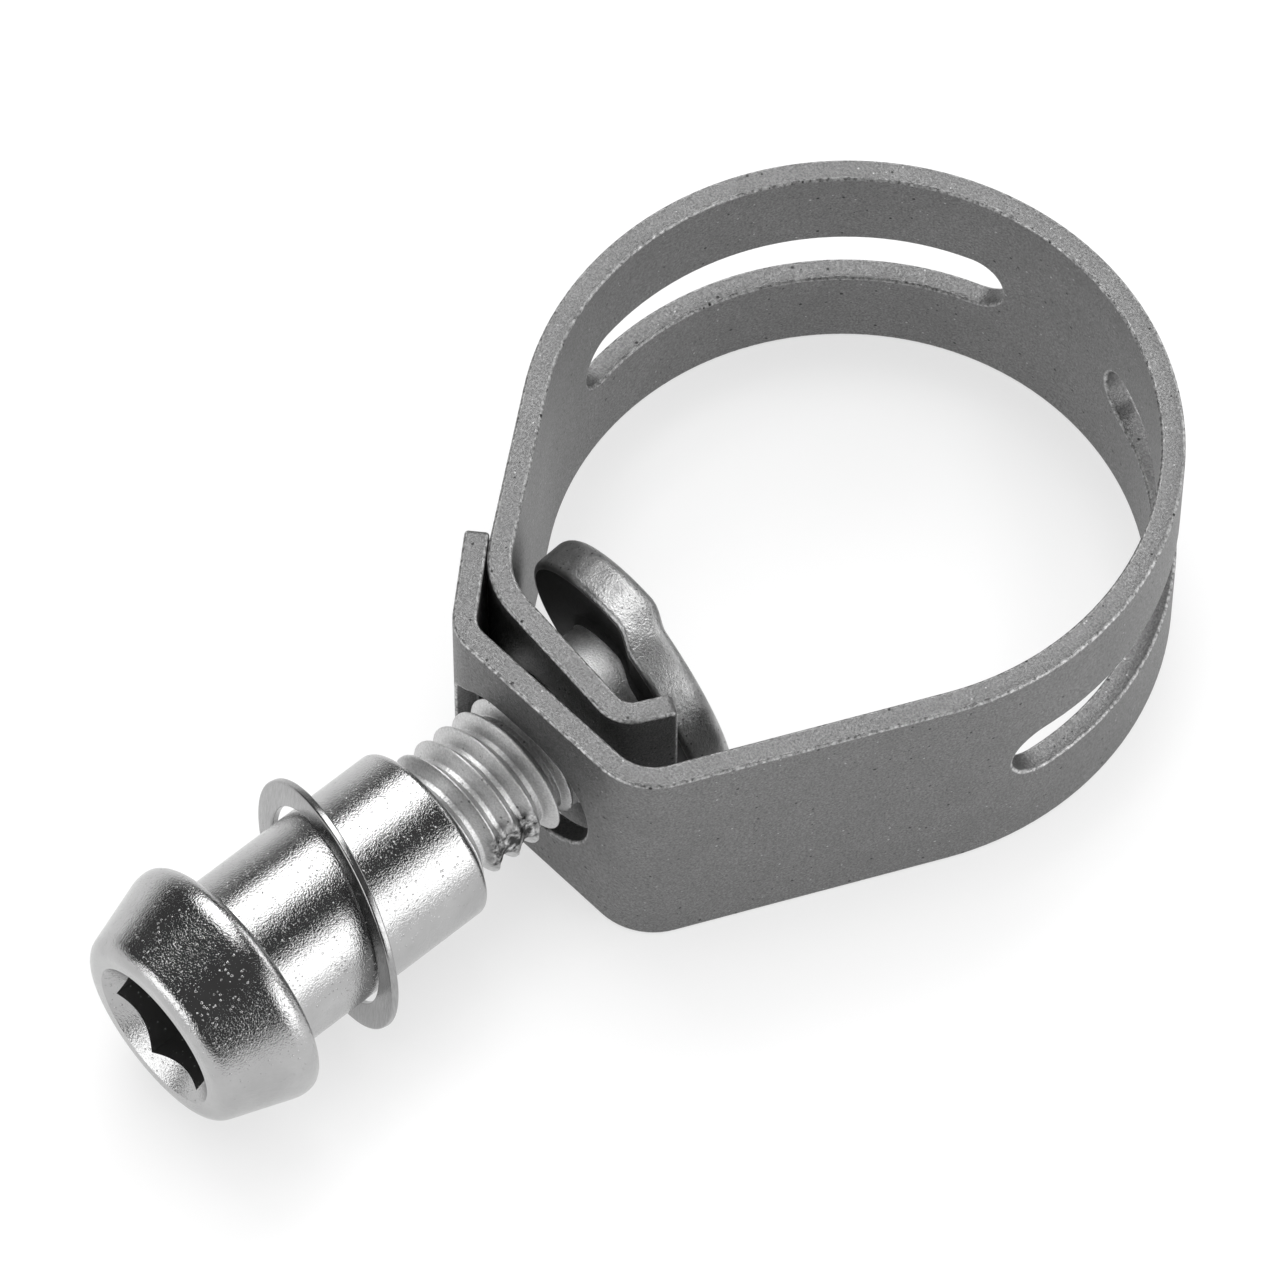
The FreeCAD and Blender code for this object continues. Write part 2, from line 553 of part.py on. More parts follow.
def turn_round_axis(body, profile, name):
    turned = body.newObject("PartDesign::Revolution", name)
    turned.Profile = profile
    turned.ReferenceAxis = (profile, ["V_Axis"])
    turned.Angle = 360
    doc.recompute()
    return turned


def rim_edges(upper):
    # The edges of the plate's rim above or below its middle, without the seams of the rim itself.
    rim_faces = [face for face in clamp_bolt.Shape.Faces
                 if isinstance(face.Surface, Part.Cylinder)
                 and abs(face.Surface.Radius - size("head_radius")) < 1e-6]
    middle = value(bent + " + Sizes.head_thickness / 2")
    lean = math.radians(size("head_nod_angle"))
    levelled = FreeCAD.Vector(0, math.cos(lean), math.sin(lean))

    def chosen(edge):
        sides = sum(1 for face in rim_faces for other in face.Edges if other.isSame(edge))
        return sides == 1 and (edge.BoundBox.Center.dot(levelled) > middle) == upper

    return chosen


bevel(clamp_bolt, "RimTop", "Sizes.head_top_chamfer", rim_edges(True))
bevel(clamp_bolt, "RimUnder", "Sizes.head_under_chamfer", rim_edges(False))

shank_radius = "(Sizes.bolt_diameter / 2)"
shank_corners = [
    ("0", seat + " + Sizes.head_thickness / 4"),
    (shank_radius, seat + " + Sizes.head_thickness / 4"),
    (shank_radius, "-(Sizes.bolt_length - Sizes.bolt_end_chamfer)"),
    (shank_radius + " - Sizes.bolt_end_chamfer", "-Sizes.bolt_length"),
    ("0", "-Sizes.bolt_length"),
]
shank_profile = dimensioned_outline(clamp_bolt, "ShankProfile", "XY_Plane", shank_corners)
turn_round_axis(clamp_bolt, shank_profile, "Shank")
put_on_axis(clamp_bolt, "0")

# The sleeve nut is turned: a barrel that the lever's body pivots on, a tapered head and a
# hexagon socket for the key. The bolt's thread runs in from the mouth.
sleeve_nut = new_body("sleeve_nut")
thread_radius = "(Sizes.bolt_diameter / 2 + Sizes.nut_thread_gap)"
barrel_radius = "(" + thread_radius + " + Sizes.nut_wall_thickness)"
head_rim = "(" + barrel_radius + " + Sizes.nut_shoulder_width)"
front_radius = "(" + barrel_radius + " + Sizes.nut_front_width)"
nut_length = "(Sizes.nut_barrel_length + Sizes.nut_head_length)"
hex_corner = "(Sizes.hex_width / 2 / cos(30) + Sizes.hex_chamfer)"
nut_corners = [
    (thread_radius + " + Sizes.nut_thread_chamfer", "0"),
    (barrel_radius, "0"),
    (barrel_radius, "-Sizes.nut_barrel_length"),
    (head_rim, "-Sizes.nut_barrel_length"),
    (head_rim, "-(Sizes.nut_barrel_length + Sizes.nut_rim_width)"),
    (front_radius, "-" + nut_length),
    (hex_corner, "-" + nut_length),
    ("Sizes.hex_floor_radius", "-(" + nut_length + " - (" + hex_corner + " - Sizes.hex_floor_radius))"),
    ("Sizes.hex_floor_radius", "-(" + nut_length + " - Sizes.hex_depth - Sizes.hex_floor_thickness)"),
    (thread_radius, "-(" + nut_length + " - Sizes.hex_depth - Sizes.hex_floor_thickness)"),
    (thread_radius, "-Sizes.nut_thread_chamfer"),
]
nut_profile = dimensioned_outline(sleeve_nut, "NutProfile", "XY_Plane", nut_corners)
turn_round_axis(sleeve_nut, nut_profile, "Turned")

hex_sketch = new_sketch(sleeve_nut, "HexOutline", "XZ_Plane", FreeCAD.Vector(0, 0, 1), "Sizes.hex_turn_angle",
                        nut_length)
hex_circumradius = value("Sizes.hex_width / 2 / cos(30)")
hex_points = [heading(60 * corner, hex_circumradius) for corner in range(6)]
hex_lines = outline(hex_sketch, [(point.x, point.y) for point in hex_points])
guide = hex_sketch.addGeometry(
    Part.Circle(FreeCAD.Vector(), FreeCAD.Vector(0, 0, 1), hex_circumradius), True)
hex_sketch.addConstraint(Sketcher.Constraint("Coincident", guide, centre_of, origin, start_of))
rule(hex_sketch, "Sizes.hex_width / 2 / cos(30)", "Radius", guide, hex_circumradius)
for line in hex_lines:
    hex_sketch.addConstraint(Sketcher.Constraint("PointOnObject", line, start_of, guide))
for line in hex_lines[1:]:
    hex_sketch.addConstraint(Sketcher.Constraint("Equal", hex_lines[0], line))
hex_sketch.addConstraint(Sketcher.Constraint("PointOnObject", hex_lines[0], start_of, origin))
doc.recompute()
cut(sleeve_nut, hex_sketch, "HexSocket", "Sizes.hex_depth", False)


def ring_at(radius, depth):
    # The round edge of that radius at that distance from the nut's mouth.
    return lambda edge: (
        edge.BoundBox.YLength < 1e-6
        and abs(edge.BoundBox.XMax - value(radius)) < 1e-6
        and abs(edge.BoundBox.Center.y + value(depth)) < 1e-6
    )


bevel(sleeve_nut, "MouthEdge", "Sizes.nut_mouth_chamfer", ring_at(barrel_radius, "0"))
soften(sleeve_nut, "RimBack", "Sizes.nut_rim_radius",
       ring_at(head_rim, "Sizes.nut_barrel_length"))
soften(sleeve_nut, "RimFront", "Sizes.nut_rim_radius",
       ring_at(head_rim, "Sizes.nut_barrel_length + Sizes.nut_rim_width"))
bevel(sleeve_nut, "FrontEdge", "Sizes.nut_front_chamfer", ring_at(front_radius, nut_length))
put_on_axis(sleeve_nut, flat_distance + " + Sizes.nut_open_gap")

# The washer hangs loose and askew on the nut's barrel.
washer = new_body("washer")
washer_sketch = new_sketch(washer, "WasherOutline", "XZ_Plane", crosswise, "360 - Sizes.washer_nod_angle")
hole_edge = "(" + barrel_radius + " + Sizes.washer_gap)"
for rim in (hole_edge, hole_edge + " + Sizes.washer_width"):
    centred_circle(washer_sketch, rim, value(rim))
disc = washer.newObject("PartDesign::Pad", "Disc")
disc.Profile = washer_sketch
disc.Midplane = True
disc.setExpression("Length", "Sizes.washer_thickness")
hang = "-(" + hole_edge + " * cos(Sizes.washer_nod_angle)"
hang += " - Sizes.washer_thickness / 2 * sin(Sizes.washer_nod_angle)"
hang += " - " + barrel_radius + " - Sizes.washer_hang_gap)"
put_on_axis(washer, flat_distance + " + Sizes.washer_distance", "Sizes.washer_swing_angle", hang,
            "Sizes.washer_offset")

doc.recompute()
for item in doc.Objects:
    if "Invalid" in item.State or "Error" in item.State:
        raise ValueError(item.Name + " failed")
pieces = [band, clamp_bolt, sleeve_nut, washer]
for piece in pieces:
    if piece.Shape.isNull() or not piece.Shape.isValid() or len(piece.Shape.Solids) != 1:
        raise ValueError(piece.Label + " has no sound solid")
os.makedirs("parts", exist_ok=True)
for piece in pieces:
    piece.Shape.exportStep("parts/" + piece.Label + ".step")
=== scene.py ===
import math

import bmesh
import bpy
from mathutils import Matrix, Vector, noise


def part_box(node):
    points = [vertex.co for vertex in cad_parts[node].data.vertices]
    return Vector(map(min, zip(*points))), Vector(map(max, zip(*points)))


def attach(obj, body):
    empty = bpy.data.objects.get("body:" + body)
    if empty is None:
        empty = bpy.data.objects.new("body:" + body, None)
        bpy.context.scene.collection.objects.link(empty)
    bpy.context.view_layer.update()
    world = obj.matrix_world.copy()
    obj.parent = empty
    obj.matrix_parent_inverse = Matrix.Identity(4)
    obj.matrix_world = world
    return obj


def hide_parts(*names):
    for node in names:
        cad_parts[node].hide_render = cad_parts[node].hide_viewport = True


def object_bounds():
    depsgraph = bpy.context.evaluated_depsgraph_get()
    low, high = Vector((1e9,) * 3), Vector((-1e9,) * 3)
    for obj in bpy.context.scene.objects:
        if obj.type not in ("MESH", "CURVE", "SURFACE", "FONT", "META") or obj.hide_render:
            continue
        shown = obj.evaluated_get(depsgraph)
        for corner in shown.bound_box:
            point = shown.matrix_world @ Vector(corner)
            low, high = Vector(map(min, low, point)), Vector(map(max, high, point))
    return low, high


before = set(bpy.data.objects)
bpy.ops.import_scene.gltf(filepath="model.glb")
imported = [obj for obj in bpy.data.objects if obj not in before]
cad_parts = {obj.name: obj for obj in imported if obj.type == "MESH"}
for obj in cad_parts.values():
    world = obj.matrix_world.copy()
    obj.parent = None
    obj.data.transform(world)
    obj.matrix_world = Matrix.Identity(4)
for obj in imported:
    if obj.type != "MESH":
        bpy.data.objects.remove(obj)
cad_low, cad_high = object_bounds()
mm = 0.001


# The strip. The real one is a 1 mm stainless strip, 11.7 mm wide, with its holes and slots
# punched while it is flat. It is then folded round the bar space, and its two ends cross
# under it as an inner and an outer flat, each with a lip turned up. Tumbling rounds its edges.
sheet_thickness = 1.0
band_width = 11.7
edge_rounding = 0.15
blank_corner = 0.3
weld_distance = 0.0005

# Each run of the strip's middle line: its length in mm, and how far it turns to the left.
# The outer lip, its bend, the outer flat, the right bend and the right leg lead to the ring.
runs = [
    (3.95, 0), (1.3221, 50.5), (7.7099, 0), (2.6389, 63), (11.467, 0), (54.5811, 242.8),
    (7.4796, 0), (2.9749, 48.7), (5.7444, 0), (1.3928, 66.5), (1.45, 0),
]
outer_lip_end = Vector((-7.248, -13.7812))
outer_lip_heading = -50.5
strip_length = sum(length for length, turn in runs)


def middle_line(along):
    # Where the strip's middle line is at a distance from the outer lip's end, and its heading.
    place, heading = outer_lip_end.copy(), math.radians(outer_lip_heading)
    for number, (length, turn) in enumerate(runs):
        step = along if number == len(runs) - 1 else min(along, length)
        if turn:
            radius = length / math.radians(turn)
            further = heading + step / radius
            place += radius * Vector((
                math.sin(further) - math.sin(heading), math.cos(heading) - math.cos(further)))
            heading = further
        else:
            place += step * Vector((math.cos(heading), math.sin(heading)))
        along -= step
        if along <= 0:
            break
    return place, heading


def rounded_outline(left, right, half_height, corner, arc_steps=14):
    # A rectangle with rounded corners. With the largest corners it is a slot or a round hole.
    points = []
    for side, level, first in (
        (right - corner, half_height - corner, 0), (left + corner, half_height - corner, 90),
        (left + corner, corner - half_height, 180), (right - corner, corner - half_height, 270),
    ):
        for step in range(arc_steps + 1):
            angle = math.radians(first + 90 * step / arc_steps)
            point = Vector((side + corner * math.cos(angle), level + corner * math.sin(angle)))
            if not points or min((point - points[-1]).length, (point - points[0]).length) > 1e-4:
                points.append(point)
    return points


def start_of_run(number):
    return sum(length for length, turn in runs[:number])


# The two long slots lie along the ring, and their tips are given in degrees from +X.
ring_radius = runs[5][0] / math.radians(runs[5][1])
slot_half_width = 1.5


def ring_station(degrees):
    ring_start_angle = -27.0
    return start_of_run(5) + math.radians(degrees - ring_start_angle) * ring_radius


# The bolt passes a round hole in the inner flat and a longer one in the outer flat.
bolt_hole_radius = 3.095
inner_hole_station = start_of_run(8) + 2.85
outer_hole_station = start_of_run(2) + 2.8855
outer_hole_stretch = 0.87

outlines = [
    rounded_outline(0, strip_length, band_width / 2, blank_corner),
    rounded_outline(ring_station(-15.1), ring_station(77.6), slot_half_width, slot_half_width),
    rounded_outline(ring_station(104.9), ring_station(195.1), slot_half_width, slot_half_width),
    rounded_outline(inner_hole_station - bolt_hole_radius, inner_hole_station + bolt_hole_radius,
                    bolt_hole_radius, bolt_hole_radius),
    rounded_outline(outer_hole_station - outer_hole_stretch - bolt_hole_radius,
                    outer_hole_station + outer_hole_stretch + bolt_hole_radius,
                    bolt_hole_radius, bolt_hole_radius),
]
blank = bpy.data.curves.new("punched_blank", "CURVE")
blank.dimensions = "2D"
blank.fill_mode = "BOTH"
blank.bevel_depth = edge_rounding
blank.bevel_resolution = 3
blank.offset = -edge_rounding
blank.extrude = sheet_thickness / 2 - edge_rounding
for outline in outlines:
    spline = blank.splines.new("POLY")
    spline.points.add(len(outline) - 1)
    for point, place in zip(spline.points, outline):
        point.co = (place.x, place.y, 0, 1)
    spline.use_cyclic_u = True
blank_object = bpy.data.objects.new("punched_blank", blank)
band_mesh = bpy.data.meshes.new_from_object(blank_object)
bpy.data.objects.remove(blank_object)
bpy.data.curves.remove(blank)

# The flat blank is divided across wherever it bends, finely enough to look round.
strip = bmesh.new()
strip.from_mesh(band_mesh)
bmesh.ops.remove_doubles(strip, verts=strip.verts, dist=weld_distance)
degrees_per_cut = 6.25
length_per_cut = 0.56
cuts_if_straight = 6
end_margin = 0.2
for number, (length, turn) in enumerate(runs):
    cuts = cuts_if_straight
    if turn:
        cuts = math.ceil(max(turn / degrees_per_cut, length / length_per_cut))
    for cut in range(cuts):
        station = start_of_run(number) + length * cut / cuts
        if end_margin < station < strip_length - end_margin:
            bmesh.ops.bisect_plane(
                strip, geom=strip.verts[:] + strip.edges[:] + strip.faces[:], dist=weld_distance,
                plane_co=(station, 0, 0), plane_no=(1, 0, 0))

# The rounded edges are marked, so that the strip's finish can paint glints on them: a painted
# highlight in lighter colour.
edge_mark = strip.verts.layers.float.new("painted_edge_glint")
face_level = sheet_thickness / 2
for corner in strip.verts:
    along, across, outward = corner.co
    corner[edge_mark] = float(face_level - edge_rounding + 0.01 < abs(outward) < face_level - 0.01)
    place, heading = middle_line(along)
    place += outward * Vector((math.sin(heading), -math.cos(heading)))
    corner.co = Vector((place.x, place.y, across)) * mm


def finish_mesh(shape, mesh, sharp_degrees):
    # Faces shade smoothly, apart from across edges that are sharper than the limit.
    bmesh.ops.recalc_face_normals(shape, faces=shape.faces)
    for face in shape.faces:
        face.smooth = True
    limit = math.radians(sharp_degrees)
    for edge in shape.edges:
        edge.smooth = len(edge.link_faces) == 2 and edge.calc_face_angle() < limit
    shape.to_mesh(mesh)
    shape.free()


def put_in_scene(name, mesh, *finishes):
    # A piece from its mesh, whose faces number the finishes that they have.
    piece = bpy.data.objects.new(name, mesh)
    bpy.context.scene.collection.objects.link(piece)
    for finish in finishes:
        mesh.materials.append(finish)
    even = piece.modifiers.new("even_shading", "WEIGHTED_NORMAL")
    even.keep_sharp = True
    return piece


def colour(code):
    # An sRGB hex value as the linear colour that a shader takes.
    parts = [int(code[at:at + 2], 16) / 255 for at in (1, 3, 5)]
    return [part / 12.92 if part <= 0.04045 else ((part + 0.055) / 1.055) ** 2.4
            for part in parts] + [1.0]


def add_node(tree, kind, settings=None, links=None):
    # One node with its settings and with what runs into it.
    made = tree.nodes.new(kind)
    for name, setting in (settings or {}).items():
        if isinstance(name, int) or name in made.inputs:
            made.inputs[name].default_value = setting
        else:
            setattr(made, name, setting)
    for name, socket in (links or {}).items():
        tree.links.new(socket, made.inputs[name])
    return made


def new_finish(name):
    # An empty material with its node tree, and the spot on the piece that its patterns follow.
    finish = bpy.data.materials.new(name)
    finish.use_nodes = True
    finish.node_tree.nodes.clear()
    spot = add_node(finish.node_tree, "ShaderNodeTexCoord").outputs["Object"]
    return finish, finish.node_tree, spot


def speckle(tree, spot, spacing, largest, share):
    # Round spots strewn at random, about one to each spacing, up to the largest radius in mm.
    cells = add_node(tree, "ShaderNodeTexVoronoi", {"Scale": 1 / (spacing * mm)}, {"Vector": spot})
    choice = add_node(tree, "ShaderNodeSeparateColor", {}, {"Color": cells.outputs["Color"]})
    size = add_node(tree, "ShaderNodeMapRange",
                    {"From Min": 1 - share, "From Max": 1.0,
                     "To Min": 0.0, "To Max": largest / spacing},
                    {"Value": choice.outputs["Red"]})
    inside = add_node(tree, "ShaderNodeMath", {"operation": "SUBTRACT"},
                      {0: size.outputs["Result"], 1: cells.outputs["Distance"]})
    soft_border = 0.35
    return add_node(tree, "ShaderNodeMapRange",
                    {"From Min": 0.0, "From Max": soft_border * largest / spacing,
                     "To Min": 0.0, "To Max": 1.0},
                    {"Value": inside.outputs[0]}).outputs["Result"]


def noise_between(tree, spot, grain_size, low, high, detail=3.0):
    # Noise of a grain size in mm, spread out to run from the low value to the high one.
    waves = add_node(tree, "ShaderNodeTexNoise",
                     {"Scale": 1 / (grain_size * mm), "Detail": detail, "Roughness": 0.6},
                     {"Vector": spot})
    return add_node(tree, "ShaderNodeMapRange",
                    {"From Min": 0.32, "From Max": 0.68, "To Min": low, "To Max": high},
                    {"Value": waves.outputs["Fac"]}).outputs["Result"]


def blend(tree, share, first, second):
    # Two colours mixed by a share. Each is a hex value or a socket.
    sides = {6: first, 7: second}
    plain = {at: colour(side) for at, side in sides.items() if isinstance(side, str)}
    linked = {at: side for at, side in sides.items() if not isinstance(side, str)}
    return add_node(tree, "ShaderNodeMix", {"data_type": "RGBA", **plain},
                    {0: share, **linked}).outputs[2]


def metal_surface(tree, tone, dullness, height, depth):
    # Bare or plated metal, with its relief as a bump of a depth in mm.
    bump = add_node(tree, "ShaderNodeBump", {"Strength": 1.0, "Distance": depth * mm},
                    {"Height": height})
    metal = add_node(tree, "ShaderNodeBsdfPrincipled", {"Metallic": 1.0},
                     {"Base Color": tone, "Roughness": dullness, "Normal": bump.outputs["Normal"]})
    add_node(tree, "ShaderNodeOutputMaterial", {}, {"Surface": metal.outputs["BSDF"]})


# Tumbled stainless strip: a matt dark grey with a grain of about 0.1 mm, strewn with small dark
# pits and bright scuffs. Its rounded edges carry a painted highlight: glints painted in spots as
# light grey.
band_finish, tree, spot = new_finish("tumbled_stainless_strip")
grain = noise_between(tree, spot, 0.09, 0.0, 1.0)
cloud = noise_between(tree, spot, 2.5, 0.0, 0.3)
pits = speckle(tree, spot, 0.36, 0.09, 0.4)
scuffs = speckle(tree, spot, 0.3, 0.06, 0.35)
edge_glint_attribute = add_node(tree, "ShaderNodeAttribute", {"attribute_name": "painted_edge_glint"})
edge_glint_spots = noise_between(tree, spot, 0.16, -0.1, 1.0)
edge_glints = add_node(tree, "ShaderNodeMath", {"operation": "MULTIPLY", "use_clamp": True},
                  {0: edge_glint_attribute.outputs["Fac"], 1: edge_glint_spots})
tone = blend(tree, grain, "#646464", "#8C8C8C")
tone = blend(tree, cloud, tone, "#666666")
# Painted highlight: light grey glints painted in spots along the rounded edges.
tone = blend(tree, edge_glints.outputs[0], tone, "#D0D0D0")
tone = blend(tree, scuffs, tone, "#ACACAC")
tone = blend(tree, pits, tone, "#404040")
dullness = noise_between(tree, spot, 0.14, 0.42, 0.56)
metal_surface(tree, tone, dullness, grain, 0.009)

finish_mesh(strip, band_mesh, 50)
band_mesh.name = "folded_strip"
band = put_in_scene("folded_strip", band_mesh, band_finish)
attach(band, "band_body")
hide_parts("band")


# The clamp bolt. It is cold headed from steel wire: a round plate head, folded so that one
# lobe lies lower and clears the inner lip, a plain bright neck and a rolled M6 thread.
# Its neck stands in the inner flat's hole, and the head's plate spans the two lips.
bolt_origin = Vector((-0.683, -14.8127, 0))
bolt_yaw = math.radians(-2.67)
bolt_place = Matrix.Translation(bolt_origin) @ Matrix.Rotation(bolt_yaw, 4, "Z")
neck_radius = 2.975
bolt_length = 14.4
bolt_end_chamfer = 0.6
thread_pitch = 1.0
thread_depth = 0.6
thread_crest_half = 0.04
thread_start, thread_full = 2.3, 2.8
shank_radius = 2.68
neck_fillet = 0.45
head_radius = 5.86
head_centre = Vector((-0.15, -0.534))
head_thickness = 1.9
head_middle = 0.5
head_far_rounding = 0.6
head_near_rounding = 0.28
head_nod = math.radians(8.1)
turn_steps = 144
turn_angles = [2 * math.pi * step / turn_steps for step in range(turn_steps)]


def smooth_step(low, high, number):
    # A soft rise from 0 to 1 while the number goes from low to high.
    share = min(1.0, max(0.0, (number - low) / (high - low)))
    return share * share * (3 - 2 * share)


def plate_level(side):
    # The near face of the folded plate, above the bolt's origin: a straight lobe on the left,
    # a soft step down at the fold, and a lobe on the right that falls away from it.
    seat, fold, foot, step_height = 2.8003, 0.73, 1.23, 0.45
    straight_slope, bent_slope = math.tan(math.radians(1.9)), math.tan(math.radians(7.6))
    straight = seat + (fold - side) * straight_slope
    bent = seat - step_height - (side - foot) * bent_slope
    share = smooth_step(fold - 0.5, foot + 0.4, side)
    return straight * (1 - share) + bent * share


def plate_point(radius, angle, height, drop=0.0):
    # A point of the head's plate, which leans towards the flats at its top.
    share = smooth_step(neck_radius + neck_fillet, head_radius - 0.9, radius)
    side = head_centre.x * share + radius * math.cos(angle)
    rise = head_centre.y * share + radius * math.sin(angle)
    level = plate_level(side) + height
    return Vector((
        side,
        level * math.cos(head_nod) - rise * math.sin(head_nod) - drop,
        level * math.sin(head_nod) * share + rise * (1 - share + math.cos(head_nod) * share),
    ))


def rounded_section(corners, closed, arc_steps=6):
    # A section's outline in mm, each corner (along, out, radius) rounded to its own radius.
    points = []
    for number, (along, out, radius) in enumerate(corners):
        here = Vector((along, out))
        if radius == 0 or (not closed and number in (0, len(corners) - 1)):
            points.append(here)
            continue
        before = (Vector(corners[number - 1][:2]) - here).normalized()
        after = (Vector(corners[(number + 1) % len(corners)][:2]) - here).normalized()
        half = before.angle(after) / 2
        centre = here + (before + after).normalized() * radius / math.sin(half)
        first = here + before * radius / math.tan(half) - centre
        last = here + after * radius / math.tan(half) - centre
        sweep = math.atan2(first.x * last.y - first.y * last.x, first.dot(last))
        for step in range(arc_steps + 1):
            angle = sweep * step / arc_steps
            points.append(centre + Vector((
                first.x * math.cos(angle) - first.y * math.sin(angle),
                first.x * math.sin(angle) + first.y * math.cos(angle))))
    return points


def skin(rings, place, closed):
    # A surface over a row of rings. The last ring meets the first, or both ends are capped.
    shape = bmesh.new()
    rows = [[shape.verts.new(place @ point * mm) for point in ring] for ring in rings]
    count = len(rings[0])
    for row, following in zip(rows, rows[1:] + (rows[:1] if closed else [])):
        for at in range(count):
            onward = (at + 1) % count
            shape.faces.new((row[at], row[onward], following[onward], following[at]))
    if not closed:
        shape.faces.new(rows[0])
        shape.faces.new(rows[-1])
    return shape


def turned_point(radius, level, angle):
    return Vector((radius * math.cos(angle), level, radius * math.sin(angle)))


def crush_mark(along, angle):
    # Three crests are crushed together low on the right side, where something was gripped.
    middle, half_width = 4, 22
    off_middle = (math.degrees(angle) - middle + 180) % 360 - 180
    lengthwise = smooth_step(4.0, 4.5, along) * (1 - smooth_step(6.4, 6.8, along))
    return math.exp(-(off_middle / half_width) ** 4) * lengthwise


def thread_radius(along, angle):
    # The rolled thread, which fades out towards the neck. Along is outward from the inner flat.
    crest_shift = 0.6825
    share = (along / thread_pitch - angle / (2 * math.pi) + crest_shift) % 1
    from_crest = min(share, 1 - share) * thread_pitch
    flank_slope = math.tan(math.radians(60))
    groove = min(thread_depth, max(0.0, from_crest - thread_crest_half) * flank_slope)
    fade = smooth_step(thread_start, thread_full, along)
    shank = shank_radius + (neck_radius - shank_radius) * fade
    radius = min(neck_radius - groove, shank) if along > thread_start else shank
    ragged = noise.noise(Vector((along * 2.6, angle * 8.0, 3.1))) + 0.4 * noise.noise(
        Vector((along * 5.0, angle * 15.0, 7.3)))
    crushed = neck_radius - 0.2 + 0.14 * ragged
    return min(neck_radius, radius + (crushed - radius) * min(0.85, crush_mark(along, angle)))


# The rings run over the head's far face and rim, back along its near face to the neck's fillet,
# and on down the neck and the shank.
plate_section = rounded_section(
    [(head_middle, head_thickness, 0), (head_radius, head_thickness, head_far_rounding),
     (head_radius, 0, head_near_rounding), (neck_radius + neck_fillet + 0.02, 0, 0)], closed=False)
far_face = [(radius, head_thickness) for radius in (head_middle, 1.6, 2.7, 3.7, 4.5)]
rim = [tuple(point) for point in plate_section[1:-1]]
near_face = [(radius, 0) for radius in (5.2, 4.7, 4.2, 3.8, 3.6)]
bolt_rings = []
for radius, height in far_face + rim + near_face:
    bolt_rings.append([plate_point(radius, angle, height) for angle in turn_angles])
near_face_row = len(bolt_rings) - len(near_face) - 1
fillet_steps = 6
for step in range(fillet_steps + 1):
    lean = math.radians(90 / fillet_steps * step)
    radius = neck_radius + neck_fillet * (1 - math.sin(lean))
    drop = neck_fillet * (1 - math.cos(lean))
    bolt_rings.append([plate_point(radius, angle, 0, drop) for angle in turn_angles])
neck_row = len(bolt_rings) - 3
for along, radius in [(-1.1, neck_radius), (-0.4, neck_radius), (0.4, neck_radius),
                      (1.2, neck_radius), (1.4, neck_radius), (1.55, 2.9), (1.7, 2.75),
                      (1.85, shank_radius)]:
    bolt_rings.append([turned_point(radius, -along, angle) for angle in turn_angles])

# The rings are close together where the thread shows, and wider apart inside the nut.
nut_covers = 8.0
end_radius = neck_radius - bolt_end_chamfer
along = 2.0
while along < bolt_length:
    chamfer_radius = end_radius + bolt_length - along
    bolt_rings.append([
        turned_point(min(thread_radius(along, angle), chamfer_radius), -along, angle)
        for angle in turn_angles])
    along += 0.025 if along < nut_covers else 0.08
for radius in (end_radius, end_radius * 0.6):
    bolt_rings.append([turned_point(radius, -bolt_length, angle) for angle in turn_angles])

# Zinc-plated forged steel: a soft grey, mottled by the forging dies in patches of 1 to 2 mm,
# with a fine orange peel of about 0.1 mm that breaks up its highlights.
forged_finish, tree, spot = new_finish("plated_forged_steel")
peel = noise_between(tree, spot, 0.1, 0.0, 1.0)
mottle = noise_between(tree, spot, 1.5, 0.0, 1.0, 5.0)
tone = blend(tree, mottle, "#949494", "#C0C0C0")
tone = blend(tree, speckle(tree, spot, 0.2, 0.07, 0.6), tone, "#767676")
dullness = noise_between(tree, spot, 1.1, 0.46, 0.34)
relief = add_node(tree, "ShaderNodeMath", {"operation": "MULTIPLY_ADD", 1: 3.0},
                  {0: mottle, 2: peel})
metal_surface(tree, tone, dullness, relief.outputs[0], 0.01)

# The head's near face is painted a dull dark grey: painted shade, for the shade that falls between
# the head and the lips.
near_face_shade_finish, tree, spot = new_finish("painted_shade_near_face")
grain = noise_between(tree, spot, 0.12, 0.0, 1.0)
tone = blend(tree, grain, "#2A2A2A", "#3A3A3A")
bump = add_node(tree, "ShaderNodeBump", {"Strength": 1.0, "Distance": 0.006 * mm},
                {"Height": grain})
near_face_shade = add_node(tree, "ShaderNodeBsdfPrincipled",
                 {"Metallic": 0.0, "Roughness": 0.6, "Specular IOR Level": 0.15},
                 {"Base Color": tone, "Normal": bump.outputs["Normal"]})
add_node(tree, "ShaderNodeOutputMaterial", {}, {"Surface": near_face_shade.outputs["BSDF"]})

# The rolled thread and the neck: an even, light satin grey with a grain of about 0.1 mm, which
# sparkles on the crests. The crushed crests are painted dark grey: painted shade for the shadows
# in their dents.
rolled_finish, tree, spot = new_finish("plated_rolled_thread")
grain = noise_between(tree, spot, 0.09, 0.0, 1.0)
crushed = add_node(tree, "ShaderNodeAttribute", {"attribute_name": "crushed_crest"})
dent_shade_noise = noise_between(tree, spot, 0.35, 0.0, 1.5)
painted_dent_shade = add_node(tree, "ShaderNodeMath", {"operation": "MULTIPLY", "use_clamp": True},
                 {0: crushed.outputs["Fac"], 1: dent_shade_noise})
tone = blend(tree, grain, "#BCBCBC", "#DCDCDC")
tone = blend(tree, speckle(tree, spot, 0.3, 0.08, 0.4), tone, "#8A8A8A")
# Painted shade: the crushed crests are darkened in patches where their dents lie in shadow.
tone = blend(tree, painted_dent_shade.outputs[0], tone, "#404040")
metal_surface(tree, tone, noise_between(tree, spot, 0.4, 0.4, 0.5), grain, 0.009)

